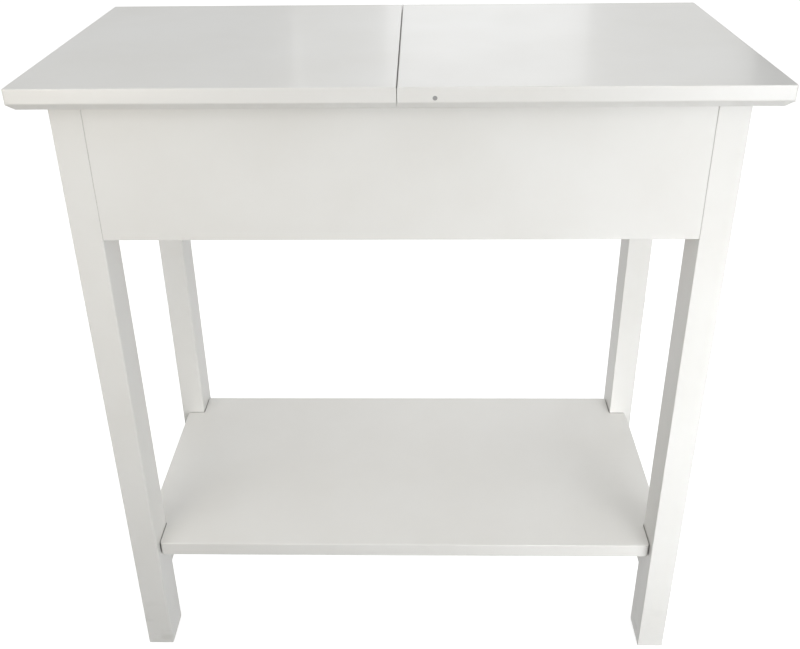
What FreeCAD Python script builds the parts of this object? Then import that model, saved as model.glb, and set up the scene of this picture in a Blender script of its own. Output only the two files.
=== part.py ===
import FreeCAD, Part

# Sewing table: two lift-up leaves over a shallow well, four legs, a deep apron and a lower shelf.
# Millimetres. X to the right, Y to the back, Z up. The origin is on the floor under the middle.
import math
import os

os.makedirs("parts", exist_ok=True)
V = FreeCAD.Vector
tolerance = 0.01

# ---- overall ----
table_height = 762.0
frame_width = 676.0  # over the outer faces of the legs
frame_depth = 330.0
side_overhang = 28.5
front_overhang = 28.5
back_overhang = 6.0

# ---- leaves ----
leaf_thickness = 22.0
seam_gap = 0.6
leaf_arris = 1.2
leaf_lower_arris = 0.6
leaf_corner_radius = 3.0  # of the outer front corner, seen from above
edge_face_height = 14.7  # upright face of the moulded edge, above the under-bevel
edge_bevel_run = 7.3
edge_break_radius = 2.5
lid_gap = 2.0  # between the leaves and the frame, filled by the bumpers

# ---- legs and boards ----
leg_width = 32.0
leg_depth = 46.0
leg_arris = 1.0
board_thickness = 18.0
board_arris = 0.8
apron_height = 145.0
glide_height = 1.0
glide_radius = 11.0
glide_stem_radius = 1.2
glide_stem_length = 16.0

# ---- lower shelf ----
shelf_top_height = 167.0
shelf_inset = 9.0  # from the outer faces of the legs
shelf_corner_radius = 4.0
shelf_notch_clearance = 0.5
shelf_rail_height = 46.0

# ---- well ----
well_bottom_thickness = 12.0
well_bottom_clearance = 0.5
cleat_height = 12.0
cleat_width = 16.0
cleat_rise = 4.0  # above the bottom edge of the aprons
side_screw_margin = 32.0  # first and last cleat screw from the end of a side apron
front_screw_margin = 168.0  # and from the end of the front and back ones

# ---- shared proportions ----
screw_drive_share = 0.6  # drive recess, of the head's radius
full_round_share = 0.999  # a rounded end just short of a half circle
plate_round_share = 0.9

# ---- knock-down fittings ----
dowel_radius = 4.0
dowel_length = 30.0
dowel_end_chamfer = 1.0
cam_radius = 7.4
cam_floor = 1.0  # left in a cam behind the bolt's head
cam_setback = 24.0  # centre of the cam from the end of its board
cam_bolt_thread_radius = 2.5
cam_bolt_thread_length = 11.0
cam_bolt_shank_radius = 3.0
cam_bolt_neck_radius = 1.7
cam_bolt_head_radius = 3.2
cam_bolt_head_length = 3.0
cam_head_reach = 1.5  # how far the head passes the middle of the cam
cam_edge_margin = 24.0  # centre of a cam from the edge of an apron
cam_drive_share = 0.5  # of the cam's radius
rail_cam_margin = 15.0
rail_dowel_margin = 13.0
fitting_clearance = 0.1

# ---- screws ----
screw_clearance = 0.05
small_screw_radius = 1.5
small_screw_head_radius = 2.7
small_screw_length = 11.0
board_screw_radius = 2.0
board_screw_head_radius = 3.6
cleat_screw_length = 28.0
well_screw_length = 20.0
shelf_screw_length = 44.0
shelf_screw_counterbore = 14.0
shelf_screw_margin = 50.0
drive_slot_width = 0.7
drive_slot_depth = 0.8

# ---- butt hinges ----
hinge_length = 50.0
hinge_plate_thickness = 1.5
hinge_plate_depth = 15.0
hinge_plate_gap = 0.3
hinge_knuckle_radius = 2.65
hinge_pin_radius = 1.25
hinge_pin_clearance = 0.05
hinge_knuckle_gap = 0.4
hinge_axis_setback = 3.0  # behind the back faces of the legs
hinge_sweep_clearance = 0.45
hinge_recess_clearance = 0.2
hinge_screw_spread = 32.0
hinge_seam_margin = 60.0  # centre of the inner hinge from the middle of the table
hinge_stay_margin = 56.0  # centre of the outer hinge from the inner face of the leg

# ---- slotted lid stays ----
leaf_opening_angle = 95.0
stay_end_clearance = 8.4  # between the closed arm's lower end and the well's bottom
stay_pivot_dip = 8.05  # degrees that the pivot lies below level, seen from the hinge axis
stay_closed_angle = 12.0  # between the pivot and the stud, seen from the hinge axis
stay_arm_thickness = 1.8
stay_arm_half_width = 4.6
stay_stud_radius = 2.2
stay_stud_head_radius = 3.9
stay_head_thickness = 1.2
stay_slot_clearance = 0.3
stay_rivet_radius = 2.0
stay_rivet_head_radius = 3.2
stay_side_gap = 0.5
stay_plate_thickness = 1.5
stay_plate_half_width = 6.0
stay_plate_length = 37.0
stay_bracket_thickness = 1.6
stay_bracket_reach = 20.0
stay_bracket_half_length = 13.0
stay_bracket_screw_spread = 16.0

# ---- bumpers ----
bumper_radius = 4.0
bumper_seam_margin = 24.0

# ---- derived places ----
table_width = frame_width + 2 * side_overhang
table_depth = front_overhang + frame_depth + back_overhang
leaf_front = -table_depth / 2
leaf_back = table_depth / 2
leaf_underside = table_height - leaf_thickness
frame_top = leaf_underside - lid_gap
frame_front = leaf_front + front_overhang
frame_back = leaf_back - back_overhang
leg_outer = frame_width / 2
leg_inner = leg_outer - leg_width
apron_bottom = frame_top - apron_height
shelf_underside = shelf_top_height - board_thickness
shelf_rail_bottom = shelf_underside - shelf_rail_height
side_board_front = frame_front + leg_depth
side_board_back = frame_back - leg_depth
cleat_bottom = apron_bottom + cleat_rise
well_bottom_underside = cleat_bottom + cleat_height
well_front = frame_front + board_thickness
well_back = frame_back - board_thickness
hinge_y = frame_back + hinge_axis_setback
hinge_z = frame_top + lid_gap / 2
cam_length = board_thickness / 2 + cam_bolt_head_radius + cam_floor

# The pivot and the stud are the same distance, the reach, from the hinge axis. The arm then turns
# half as far as the leaf, and its closed depth is the reach times a factor set by the angles.
stay_pivot_angle = math.radians(stay_pivot_dip)
stay_stud_angle = stay_pivot_angle + math.radians(stay_closed_angle)
stay_closed_half = math.radians(stay_closed_angle) / 2
stay_open_half = math.radians(stay_closed_angle + leaf_opening_angle) / 2
stay_lean = stay_pivot_angle + stay_closed_half
stay_depth_factor = math.sin(stay_pivot_angle) + 2 * math.sin(stay_open_half) * math.cos(stay_lean)
stay_depth = hinge_z - well_bottom_underside - well_bottom_thickness
stay_depth -= stay_end_clearance + stay_arm_half_width
stay_reach = stay_depth / stay_depth_factor
stay_slot_start = 2 * stay_reach * math.sin(stay_closed_half)
stay_slot_end = 2 * stay_reach * math.sin(stay_open_half)
sides = {"left": -1, "right": 1}
nodes = {}


# ---- shared shapes ----
def block(x0, x1, y0, y1, z0, z1):
    """A box between two corners, given in any order."""
    low = V(min(x0, x1), min(y0, y1), min(z0, z1))
    return Part.makeBox(abs(x1 - x0), abs(y1 - y0), abs(z1 - z0), low)


def eased_block(x0, x1, y0, y1, z0, z1, radius):
    """A box with every edge rounded a little."""
    shape = block(x0, x1, y0, y1, z0, z1)
    return shape.makeFillet(radius, shape.Edges)


def rod(base, direction, radius, length):
    """A round bar from a point along a direction."""
    return Part.makeCylinder(radius, length, base, direction)


def rounded_wire(corners, to_world):
    """A closed outline through (u, v, radius) corners. A corner with a radius becomes a tangent arc."""
    spans = []
    count = len(corners)
    for i in range(count):
        u, v, radius = corners[i]
        here = V(u, v, 0)
        to_last = V(corners[i - 1][0], corners[i - 1][1], 0).sub(here).normalize()
        to_next = V(corners[(i + 1) % count][0], corners[(i + 1) % count][1], 0).sub(here).normalize()
        if radius == 0:
            spans.append((here, here, here))
            continue
        half = to_last.getAngle(to_next) / 2
        setback = radius / math.tan(half)
        inward = to_last.add(to_next).normalize()
        middle = here.add(inward.multiply(radius / math.sin(half) - radius))
        spans.append((here.add(to_last.multiply(setback)), middle, here.add(to_next.multiply(setback))))
    edges = []
    for i in range(count):
        start, middle, end = [to_world(p.x, p.y) for p in spans[i]]
        before = to_world(spans[i - 1][2].x, spans[i - 1][2].y)
        edges.append(Part.makeLine(before, start))
        if corners[i][2] > 0:
            edges.append(Part.Arc(start, middle, end).toShape())
    return Part.Wire(edges)


def slab(corners, to_world, thickness):
    """A flat solid with the given outline, pushed out along a vector."""
    return Part.Face(rounded_wire(corners, to_world)).extrude(thickness)


def cut(shape, tools):
    """Takes a list of tools away from a shape."""
    return shape.cut(tools) if tools else shape


def across(direction):
    """Two axes at right angles to an axis-aligned direction."""
    first = V(0, 0, 1) if abs(direction.z) < 0.5 else V(1, 0, 0)
    return first, direction.cross(first)


def drive_recess(face_centre, inward, half_length):
    """A cross-shaped recess for a screwdriver, sunk into a head."""
    first, second = across(inward)
    arms = []
    for along, side in ((first, second), (second, first)):
        a = along * half_length
        b = side * (drive_slot_width / 2)
        low = face_centre.sub(a).sub(b)
        high = face_centre.add(a).add(b).add(inward * drive_slot_depth)
        arms.append(block(low.x, high.x, low.y, high.y, low.z, high.z))
    return arms


def screw(head_centre, inward, length, radius, head_radius):
    """A countersunk wood screw: the flat of its head is at head_centre and its point is inward."""
    head_height = head_radius - radius
    point_length = 2 * radius
    shank_length = length - head_height - point_length
    head = Part.makeCone(head_radius, radius, head_height, head_centre, inward)
    shank = rod(head_centre.add(inward * head_height), inward, radius, shank_length)
    tip_base = head_centre.add(inward * (length - point_length))
    tip = Part.makeCone(radius, radius / 5, point_length, tip_base, inward)
    return cut(head.fuse([shank, tip]), drive_recess(head_centre, inward, head_radius * screw_drive_share))


def screw_hole(head_centre, inward, length, radius, head_radius):
    """The hole that the screw of the same sizes sits in."""
    wide = head_radius + screw_clearance
    narrow = radius + screw_clearance
    sink = Part.makeCone(wide, narrow, wide - narrow, head_centre, inward)
    return sink.fuse(rod(head_centre, inward, narrow, length + screw_clearance))


# ---- knock-down joints ----
def apron_joint_heights():
    """Heights of the cams and of the dowel on an apron's end."""
    cams = [apron_bottom + cam_edge_margin, frame_top - cam_edge_margin]
    return cams, [sum(cams) / 2]


def rail_joint_heights():
    """Heights of the cam and of the dowel on a shelf rail's end."""
    return [shelf_rail_bottom + rail_cam_margin], [shelf_underside - rail_dowel_margin]


def board_joints():
    """Every board end that meets a leg.

    Each is a board, its leg, the point at mid-thickness, the way into the board and the way to its inner
    face, then the heights of its cams and of its dowels.
    """
    joints = []
    middle_y = {"front": frame_front + board_thickness / 2, "back": frame_back - board_thickness / 2}
    faces_y = {"front": side_board_front, "back": side_board_back}
    for side, sign in sides.items():
        side_x = sign * (leg_inner + board_thickness / 2)
        for end in ("front", "back"):
            leg = f"leg_{end}_{side}"
            into_well = V(0, 1 if end == "front" else -1, 0)
            cams, dowels = apron_joint_heights()
            end_point = V(sign * leg_inner, middle_y[end], 0)
            joints.append((f"apron_{end}", leg, end_point, V(-sign, 0, 0), into_well, cams, dowels))
            end_point = V(side_x, faces_y[end], 0)
            joints.append((f"apron_{side}", leg, end_point, into_well, V(-sign, 0, 0), cams, dowels))
            cams, dowels = rail_joint_heights()
            joints.append((f"shelf_rail_{side}", leg, end_point, into_well, V(-sign, 0, 0), cams, dowels))
    return joints


def cam_bolt(at, into_board):
    """A cam bolt: screwed into the leg, with its head in the cam."""
    head_end = cam_setback + cam_head_reach
    head_start = head_end - cam_bolt_head_length
    shank_end = cam_setback - cam_radius
    thread_end = at.sub(into_board * cam_bolt_thread_length)
    thread = rod(thread_end, into_board, cam_bolt_thread_radius, cam_bolt_thread_length)
    shank = rod(at, into_board, cam_bolt_shank_radius, shank_end)
    neck = rod(at.add(into_board * shank_end), into_board, cam_bolt_neck_radius, head_start - shank_end)
    head = rod(at.add(into_board * head_start), into_board, cam_bolt_head_radius, cam_bolt_head_length)
    return thread.fuse([shank, neck, head])


def cam_nut(at, into_board, to_inner):
    """The round cam that locks a cam bolt, hollowed for the bolt's head and neck."""
    centre = at.add(into_board * cam_setback)
    face = centre.add(to_inner * (board_thickness / 2))
    body = rod(face, to_inner * -1, cam_radius, cam_length)
    pocket_start = cam_setback + cam_head_reach - cam_bolt_head_length - fitting_clearance
    pocket_length = cam_bolt_head_length + 2 * fitting_clearance
    pocket_radius = cam_bolt_head_radius + fitting_clearance
    pocket = rod(at.add(into_board * pocket_start), into_board, pocket_radius, pocket_length)
    passage = rod(at, into_board, cam_bolt_neck_radius + fitting_clearance, cam_setback)
    return cut(body, [pocket, passage] + drive_recess(face, to_inner * -1, cam_radius * cam_drive_share))


def dowel(at, along):
    """A fluted-dowel blank with chamfered ends, centred on the joint."""
    shape = rod(at.sub(along * (dowel_length / 2)), along, dowel_radius, dowel_length)
    rims = [edge for edge in shape.Edges if isinstance(edge.Curve, Part.Circle)]
    return shape.makeChamfer(dowel_end_chamfer, rims)


def fit_knock_down_joints(cuts):
    """Makes the dowels, cam bolts and cams, and lists the holes that they need in boards and legs."""
    dowels, bolts, cams = [], [], []
    for board, leg, end_point, into_board, to_inner, cam_heights, dowel_heights in board_joints():
        for height in dowel_heights:
            at = V(end_point.x, end_point.y, height)
            dowels.append(dowel(at, into_board))
            depth = dowel_length / 2 + fitting_clearance
            hole = rod(at.sub(into_board * depth), into_board, dowel_radius + fitting_clearance, 2 * depth)
            cuts[board].append(hole)
            cuts[leg].append(hole)
        for height in cam_heights:
            at = V(end_point.x, end_point.y, height)
            bolts.append(cam_bolt(at, into_board))
            cams.append(cam_nut(at, into_board, to_inner))
            depth = cam_bolt_thread_length + fitting_clearance
            thread_radius = cam_bolt_thread_radius + fitting_clearance
            cuts[leg].append(rod(at.sub(into_board * depth), into_board, thread_radius, depth))
            cuts[board].append(rod(at, into_board, cam_bolt_shank_radius + fitting_clearance, cam_setback))
            face = at.add(into_board * cam_setback).add(to_inner * (board_thickness / 2))
            bore_radius = cam_radius + fitting_clearance
            cuts[board].append(rod(face, to_inner * -1, bore_radius, cam_length + fitting_clearance))
    nodes["dowels"] = dowels
    nodes["cam_bolts"] = bolts
    nodes["cam_nuts"] = cams


# ---- boards ----
def make_legs():
    """Four legs, each with long edges eased."""
    for side, sign in sides.items():
        for end, y0 in (("front", frame_front), ("back", side_board_back)):
            shape = eased_block(
                sign * leg_outer, sign * leg_inner, y0, y0 + leg_depth, glide_height, frame_top, leg_arris
            )
            nodes[f"leg_{end}_{side}"] = [shape]


def make_aprons():
    """Front and back aprons are flush with the legs, side ones with the legs' inner faces."""
    for end, y0 in (("front", frame_front), ("back", well_back)):
        nodes[f"apron_{end}"] = [
            eased_block(
                -leg_inner, leg_inner, y0, y0 + board_thickness, apron_bottom, frame_top, board_arris
            )
        ]
    for side, sign in sides.items():
        x0, x1 = sign * leg_inner, sign * (leg_inner + board_thickness)
        y0, y1 = side_board_front, side_board_back
        nodes[f"apron_{side}"] = [eased_block(x0, x1, y0, y1, apron_bottom, frame_top, board_arris)]
        nodes[f"shelf_rail_{side}"] = [
            eased_block(x0, x1, y0, y1, shelf_rail_bottom, shelf_underside, board_arris)
        ]


def make_lower_shelf():
    """The shelf is a cross in plan: it is notched round the four legs."""
    outer_x = leg_outer - shelf_inset
    inner_x = leg_inner - shelf_notch_clearance
    front, back = frame_front + shelf_inset, frame_back - shelf_inset
    notch_front = side_board_front + shelf_notch_clearance
    notch_back = side_board_back - shelf_notch_clearance
    r = shelf_corner_radius
    notch = leg_arris + shelf_notch_clearance
    corners = [
        (-inner_x, front, r), (inner_x, front, r), (inner_x, notch_front, notch),
        (outer_x, notch_front, r), (outer_x, notch_back, r), (inner_x, notch_back, notch),
        (inner_x, back, r), (-inner_x, back, r), (-inner_x, notch_back, notch),
        (-outer_x, notch_back, r), (-outer_x, notch_front, r), (-inner_x, notch_front, notch),
    ]
    shape = slab(corners, lambda x, y: V(x, y, shelf_underside), V(0, 0, board_thickness))
    level = [edge for edge in shape.Edges if edge.BoundBox.ZLength < board_arris]
    nodes["lower_shelf"] = [shape.makeFillet(board_arris, level)]


def make_leaf(side):
    """A leaf with a moulded edge at the front and the outer end, and a square back and seam edge."""
    sign = sides[side]
    top, face_end, bottom = table_height, table_height - edge_face_height, leaf_underside
    seam, outer = sign * seam_gap / 2, sign * table_width / 2
    board = block(seam, outer, leaf_front, leaf_back, bottom, top)
    corner = V(outer, leaf_front, (top + bottom) / 2)
    uprights = [edge for edge in board.Edges if edge.CenterOfMass.isEqual(corner, tolerance)]
    board = board.makeFillet(leaf_corner_radius, uprights)
    rim = [edge for edge in board.Edges if edge.BoundBox.ZMin > top - tolerance]
    board = board.makeFillet(leaf_arris, rim)
    front_profile = [
        (leaf_back, top, 0), (leaf_front, top, 0),
        (leaf_front, face_end, edge_break_radius),
        (leaf_front + edge_bevel_run, bottom, leaf_arris),
        (leaf_back, bottom, leaf_lower_arris),
    ]
    end_profile = [
        (seam, top, 0), (outer, top, 0),
        (outer, face_end, edge_break_radius),
        (outer - sign * edge_bevel_run, bottom, leaf_arris),
        (seam, bottom, leaf_lower_arris),
    ]
    lengthwise = slab(front_profile, lambda y, z: V(seam, y, z), V(outer - seam, 0, 0))
    endwise = slab(end_profile, lambda x, z: V(x, leaf_front, z), V(0, table_depth, 0))
    nodes[f"leaf_{side}"] = [board.common(lengthwise).common(endwise)]


# ---- well ----
def spread(start, end, margin, count):
    """Evenly spaced places between two ends, each end one a margin in."""
    step = (end - start - 2 * margin) / (count - 1)
    return [start + margin + i * step for i in range(count)]


def make_well(cuts):
    """The well's bottom panel, on four cleats that are screwed to the aprons."""
    z0, z1 = cleat_bottom, well_bottom_underside
    side_y0, side_y1 = well_front + cleat_width, well_back - cleat_width
    cleats = {
        "front": (-leg_inner, leg_inner, well_front, side_y0),
        "back": (-leg_inner, leg_inner, side_y1, well_back),
        "left": (-leg_inner, cleat_width - leg_inner, side_y0, side_y1),
        "right": (leg_inner - cleat_width, leg_inner, side_y0, side_y1),
    }
    middle_z = (z0 + z1) / 2
    seats = []
    for y, way in ((side_y0, -1), (side_y1, 1)):
        end = "front" if way < 0 else "back"
        for x in spread(-leg_inner, leg_inner, 2 * cam_setback, 3):
            seats.append((end, V(x, y, middle_z), V(0, way, 0)))
    for side, sign in sides.items():
        for y in spread(side_y0, side_y1, side_screw_margin, 2):
            seats.append((side, V(sign * (leg_inner - cleat_width), y, middle_z), V(sign, 0, 0)))
    cleat_screws = []
    for name, at, way in seats:
        size = (cleat_screw_length, board_screw_radius, board_screw_head_radius)
        cleat_screws.append(screw(at, way, *size))
        hole = screw_hole(at, way, *size)
        cuts[f"well_cleat_{name}"].append(hole)
        cuts[f"apron_{name}"].append(hole)
    nodes["cleat_screws"] = cleat_screws
    for name, (x0, x1, y0, y1) in cleats.items():
        nodes[f"well_cleat_{name}"] = [block(x0, x1, y0, y1, z0, z1)]
    gap = well_bottom_clearance
    panel_top = z1 + well_bottom_thickness
    nodes["well_bottom"] = [
        block(gap - leg_inner, leg_inner - gap, well_front + gap, well_back - gap, z1, panel_top)
    ]
    panel_screws = []
    for end, y in (("front", well_front + cleat_width / 2), ("back", well_back - cleat_width / 2)):
        for x in spread(-leg_inner, leg_inner, front_screw_margin, 2):
            at = V(x, y, panel_top)
            size = (well_screw_length, board_screw_radius, board_screw_head_radius)
            panel_screws.append(screw(at, V(0, 0, -1), *size))
            hole = screw_hole(at, V(0, 0, -1), *size)
            cuts["well_bottom"].append(hole)
            cuts[f"well_cleat_{end}"].append(hole)
    nodes["well_bottom_screws"] = panel_screws


def make_shelf_screws(cuts):
    """Two screws up through each shelf rail, in counterbores."""
    screws = []
    for side, sign in sides.items():
        x = sign * (leg_inner + board_thickness / 2)
        for y in spread(side_board_front, side_board_back, shelf_screw_margin, 2):
            at = V(x, y, shelf_rail_bottom + shelf_screw_counterbore)
            size = (shelf_screw_length, board_screw_radius, board_screw_head_radius)
            screws.append(screw(at, V(0, 0, 1), *size))
            hole = screw_hole(at, V(0, 0, 1), *size)
            bore_radius = board_screw_head_radius + screw_clearance
            bore = rod(V(x, y, shelf_rail_bottom), V(0, 0, 1), bore_radius, shelf_screw_counterbore)
            cuts[f"shelf_rail_{side}"] += [hole, bore]
            cuts["lower_shelf"].append(hole)
    nodes["shelf_screws"] = screws


# ---- feet and bumpers ----
def make_glides(cuts):
    """A domed glide under each leg, with a nail driven into the leg."""
    nails = []
    for side, sign in sides.items():
        for end, y0 in (("front", frame_front), ("back", side_board_back)):
            centre = V(sign * (leg_outer - leg_width / 2), y0 + leg_depth / 2, 0)
            disc = rod(centre, V(0, 0, 1), glide_radius, glide_height)
            lower_rim = [edge for edge in disc.Edges if edge.BoundBox.ZMax < glide_height / 2]
            disc = disc.makeFillet(glide_height / 2, lower_rim)
            head_seat = centre.add(V(0, 0, glide_height / 2))
            stem = rod(head_seat, V(0, 0, 1), glide_stem_radius, glide_stem_length)
            nails.append(stem)
            hole_length = glide_stem_length + screw_clearance
            hole = rod(head_seat, V(0, 0, 1), glide_stem_radius + screw_clearance, hole_length)
            nodes[f"glide_{end}_{side}"] = [disc.cut(hole)]
            cuts[f"leg_{end}_{side}"].append(hole)
    nodes["glide_nails"] = nails


def make_bumpers():
    """Soft discs that the closed leaves rest on: one on each leg, and one each side of the seam."""
    places = []
    for sign in sides.values():
        leg_x = sign * (leg_outer - leg_width / 2)
        places.append((leg_x, frame_front + leg_depth / 2))
        places.append((leg_x, frame_back - leg_depth / 2))
        places.append((sign * bumper_seam_margin, frame_front + board_thickness / 2))
    nodes["leaf_bumpers"] = [rod(V(x, y, frame_top), V(0, 0, 1), bumper_radius, lid_gap) for x, y in places]


# ---- hinges ----
def hinge_half(centre_x, up, knuckles):
    """One plate of a butt hinge with its knuckles. up is -1 for the frame's plate and 1 for the leaf's."""
    near = hinge_plate_gap / 2
    far = near + hinge_plate_thickness
    x0, x1 = centre_x - hinge_length / 2, centre_x + hinge_length / 2
    plate = block(x0, x1, frame_back - hinge_plate_depth, hinge_y, hinge_z + up * near, hinge_z + up * far)
    sweep = hinge_knuckle_radius + hinge_sweep_clearance
    gaps = rod(V(x0, hinge_y, hinge_z), V(1, 0, 0), sweep, hinge_length)
    barrels = []
    keepers = []
    for start, end in knuckles:
        barrels.append(rod(V(x0 + start, hinge_y, hinge_z), V(1, 0, 0), hinge_knuckle_radius, end - start))
        low, high = hinge_z - sweep, hinge_z + sweep
        keepers.append(block(x0 + start, x0 + end, hinge_y - sweep, hinge_y, low, high))
    return plate.cut(gaps.cut(keepers)).fuse(barrels)


def make_hinges(cuts):
    """Two butt hinges for each leaf, let into the back apron and the underside of the leaf."""
    third = hinge_length / 3
    half_gap = hinge_knuckle_gap / 2
    frame_knuckles = [(0, third - half_gap), (2 * third + half_gap, hinge_length)]
    leaf_knuckles = [(third + half_gap, 2 * third - half_gap)]
    frame_screws = []
    screw_size = (small_screw_length, small_screw_radius, small_screw_head_radius)
    for side, sign in sides.items():
        leaf_screws = []
        for name, x in (("inner", hinge_seam_margin), ("outer", leg_inner - hinge_stay_margin)):
            centre_x = sign * x
            x0, x1 = centre_x - hinge_length / 2, centre_x + hinge_length / 2
            bore_start = V(x0, hinge_y, hinge_z)
            tight = rod(bore_start, V(1, 0, 0), hinge_pin_radius, hinge_length)
            loose = rod(bore_start, V(1, 0, 0), hinge_pin_radius + hinge_pin_clearance, hinge_length)
            frame_half = hinge_half(centre_x, -1, frame_knuckles).cut(tight)
            leaf_half = hinge_half(centre_x, 1, leaf_knuckles).cut(loose)
            screw_y = frame_back - hinge_plate_depth / 2
            holes_down, holes_up = [], []
            for dx in (-hinge_screw_spread / 2, hinge_screw_spread / 2):
                low = V(centre_x + dx, screw_y, hinge_z - hinge_plate_gap / 2)
                high = V(centre_x + dx, screw_y, hinge_z + hinge_plate_gap / 2)
                frame_screws.append(screw(low, V(0, 0, -1), *screw_size))
                leaf_screws.append(screw(high, V(0, 0, 1), *screw_size))
                holes_down.append(screw_hole(low, V(0, 0, -1), *screw_size))
                holes_up.append(screw_hole(high, V(0, 0, 1), *screw_size))
            nodes[f"hinge_frame_plate_{side}_{name}"] = [cut(frame_half, holes_down)]
            nodes[f"hinge_leaf_plate_{side}_{name}"] = [cut(leaf_half, holes_up)]
            nodes[f"hinge_pin_{side}_{name}"] = [tight]
            free = hinge_recess_clearance
            y0 = frame_back - hinge_plate_depth - free
            plate_low = hinge_z - hinge_plate_gap / 2 - hinge_plate_thickness
            plate_high = hinge_z + hinge_plate_gap / 2 + hinge_plate_thickness
            seat = block(x0 - free, x1 + free, y0, hinge_y, plate_low, frame_top + free)
            cuts["apron_back"] += [seat] + holes_down
            gain = block(x0 - free, x1 + free, y0, hinge_y, leaf_underside - free, plate_high)
            sweep = hinge_knuckle_radius + hinge_sweep_clearance
            notch_back, notch_floor = leaf_back + free, leaf_underside - free
            notch = block(x0 - free, x1 + free, hinge_y - sweep, notch_back, notch_floor, hinge_z + sweep)
            cuts[f"leaf_{side}"] += [gain, notch] + holes_up
        nodes[f"hinge_leaf_screws_{side}"] = leaf_screws
    nodes["hinge_frame_screws"] = frame_screws


# ---- lid stays ----
def from_hinge(angle, reach):
    """Y and Z of a point at an angle below the horizontal, in front of the hinge axis."""
    return hinge_y - reach * math.cos(angle), hinge_z - reach * math.sin(angle)


def make_stays(cuts):
    """A slotted arm for each leaf. Its pivot and its stud are the same distance from the hinge axis."""
    pivot_y, pivot_z = from_hinge(stay_pivot_angle, stay_reach)
    stud_y, stud_z = from_hinge(stay_stud_angle, stay_reach)
    along = V(0, stud_y - pivot_y, stud_z - pivot_z).normalize()
    side_way = V(0, -along.z, along.y)
    pivot = V(0, pivot_y, pivot_z)
    plate_screws = []
    screw_size = (small_screw_length, small_screw_radius, small_screw_head_radius)
    for side, sign in sides.items():
        inward = V(-sign, 0, 0)
        wall = V(sign * leg_inner, 0, 0)

        def at(depth, y, z):
            """A point at a depth from the leg's inner face, towards the middle."""
            return wall.add(inward * depth).add(V(0, y, z))

        arm_start = stay_plate_thickness + stay_side_gap
        arm_end = arm_start + stay_arm_thickness
        outer_start = arm_end + stay_side_gap

        # the arm, with a pivot hole and a slot
        def arm_outline(start, end, half_width):
            """A round-ended strip along the arm, from one end centre to the other."""
            corners = []
            for s, w in ((start, -1), (end, 1)):
                far = s + w * half_width
                corner = half_width * full_round_share
                corners += [(far, w * half_width, corner), (far, -w * half_width, corner)]
            return corners

        def on_arm(s, w):
            """Puts a point along and across the arm into the table's frame."""
            flat = pivot.add(along * s).add(side_way * w)
            return at(arm_start, flat.y, flat.z)

        slot_half = stay_stud_radius + stay_slot_clearance
        through = inward * stay_arm_thickness
        arm = slab(arm_outline(0, stay_slot_end, stay_arm_half_width), on_arm, through)
        slot = slab(arm_outline(stay_slot_start, stay_slot_end, slot_half), on_arm, through)
        hole = rod(on_arm(0, 0), inward, stay_rivet_radius + hinge_pin_clearance, stay_arm_thickness)
        nodes[f"stay_arm_{side}"] = [cut(arm, [slot, hole])]

        # the stud plate on the side apron
        plate_top = stud_z + stay_plate_half_width
        plate_bottom = plate_top - stay_plate_length
        plate_corners = [
            (stud_y + w * stay_plate_half_width, z, stay_plate_half_width * plate_round_share)
            for w, z in ((-1, plate_bottom), (1, plate_bottom), (1, plate_top), (-1, plate_top))
        ]
        plate = slab(plate_corners, lambda y, z: at(0, y, z), inward * stay_plate_thickness)
        stud = rod(at(0, stud_y, stud_z), inward, stay_stud_radius, outer_start)
        stud_head = rod(at(outer_start, stud_y, stud_z), inward, stay_stud_head_radius, stay_head_thickness)
        holes = []
        for fraction in (1, 2):
            centre = at(stay_plate_thickness, stud_y, stud_z - fraction * stay_plate_length / 3)
            plate_screws.append(screw(centre, inward * -1, *screw_size))
            holes.append(screw_hole(centre, inward * -1, *screw_size))
        nodes[f"stay_stud_plate_{side}"] = [cut(plate.fuse([stud, stud_head]), holes)]
        cuts[f"apron_{side}"] += holes
        cuts[f"leg_back_{side}"] += holes

        # the bracket under the leaf, and the rivet that the arm turns on
        bracket_end = outer_start + stay_bracket_reach
        half = stay_bracket_half_length
        pad_bottom = leaf_underside - stay_bracket_thickness
        pad_low = at(outer_start, pivot_y - half, pad_bottom)
        pad_high = at(bracket_end, pivot_y + half, leaf_underside)
        pad = block(pad_low.x, pad_high.x, pad_low.y, pad_high.y, pad_low.z, pad_high.z)
        ear_half = stay_arm_half_width
        ear_corners = [
            (pivot_y - ear_half, pivot_z - ear_half, ear_half * full_round_share),
            (pivot_y + ear_half, pivot_z - ear_half, ear_half * full_round_share),
            (pivot_y + ear_half, leaf_underside, 0),
            (pivot_y - ear_half, leaf_underside, 0),
        ]
        ear = slab(ear_corners, lambda y, z: at(outer_start, y, z), inward * stay_bracket_thickness)
        rivet_end = outer_start + stay_bracket_thickness
        rivet_start = arm_start - stay_side_gap
        shank = rod(at(rivet_start, pivot_y, pivot_z), inward, stay_rivet_radius, rivet_end - rivet_start)
        inner_tip = at(rivet_end, pivot_y, pivot_z)
        outer_tip = at(rivet_start, pivot_y, pivot_z)
        inner_cap = rod(inner_tip, inward, stay_rivet_head_radius, stay_head_thickness)
        outer_cap = rod(outer_tip, inward * -1, stay_rivet_head_radius, stay_head_thickness)
        nodes[f"stay_rivet_{side}"] = [shank.fuse([inner_cap, outer_cap])]
        leaf_screws = []
        holes = [rod(at(outer_start, pivot_y, pivot_z), inward, stay_rivet_radius, stay_bracket_thickness)]
        for dy in (-stay_bracket_screw_spread / 2, stay_bracket_screw_spread / 2):
            centre = at((outer_start + bracket_end) / 2, pivot_y + dy, pad_bottom)
            leaf_screws.append(screw(centre, V(0, 0, 1), *screw_size))
            holes.append(screw_hole(centre, V(0, 0, 1), *screw_size))
        nodes[f"stay_bracket_{side}"] = [cut(pad.fuse(ear), holes)]
        nodes[f"stay_bracket_screws_{side}"] = leaf_screws
        cuts[f"leaf_{side}"] += holes[1:]
    nodes["stay_plate_screws"] = plate_screws


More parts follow.
